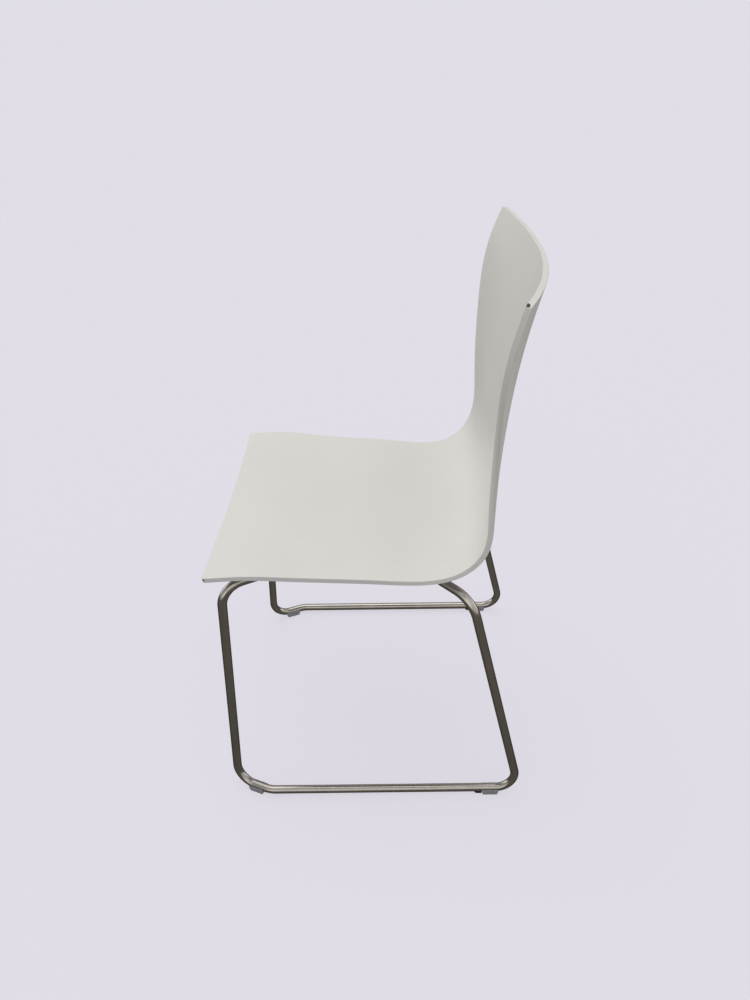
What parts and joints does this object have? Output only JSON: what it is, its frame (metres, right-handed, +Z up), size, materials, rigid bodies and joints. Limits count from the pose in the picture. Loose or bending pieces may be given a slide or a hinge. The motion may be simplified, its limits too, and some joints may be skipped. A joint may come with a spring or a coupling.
{
  "type": "stacking chair",
  "caption": "Stacking chair with a one-piece moulded seat-and-back shell on a bent steel tube sled frame with plastic floor glides.",
  "frame": {"origin": "on the floor, under the middle of the chair's bounding box", "axes": "+X to the sitter's left, -Y the way the sitter faces, +Z up"},
  "size_m": [0.4948, 0.5015, 0.8293],
  "materials": {
    "shell_lacquer": "satin off-white lacquer on moulded plywood",
    "satin_steel": "satin stainless tube",
    "bar_steel": "satin flat bar",
    "zinc_steel": "zinc plated",
    "spacer_plastic": "matt black",
    "insert_brass": "turned",
    "glide_plastic": "matt grey",
    "stop_rubber": "matt black"
  },
  "bodies": {
    "root": {"seat_shell": "shell_lacquer", "side_frame_left": "satin_steel", "side_frame_right": "satin_steel", "cross_plate_front": "bar_steel", "cross_plate_rear": "bar_steel", "shell_screw_1": "zinc_steel", "shell_screw_2": "zinc_steel", "shell_screw_3": "zinc_steel", "shell_screw_4": "zinc_steel", "washer_1": "zinc_steel", "washer_2": "zinc_steel", "washer_3": "zinc_steel", "washer_4": "zinc_steel", "spacer_1": "spacer_plastic", "spacer_2": "spacer_plastic", "spacer_3": "spacer_plastic", "spacer_4": "spacer_plastic", "insert_1": "insert_brass", "insert_2": "insert_brass", "insert_3": "insert_brass", "insert_4": "insert_brass", "glide_front_left": "glide_plastic", "glide_front_right": "glide_plastic", "glide_rear_left": "glide_plastic", "glide_rear_right": "glide_plastic", "glide_stop_left": "stop_rubber", "glide_stop_right": "stop_rubber", "glide_pin_front_left": "zinc_steel", "glide_pin_front_right": "zinc_steel", "glide_pin_rear_left": "zinc_steel", "glide_pin_rear_right": "zinc_steel", "stack_buffer_1": "stop_rubber", "stack_buffer_2": "stop_rubber", "stack_buffer_3": "stop_rubber", "stack_buffer_4": "stop_rubber"}
  },
  "joints": []
}
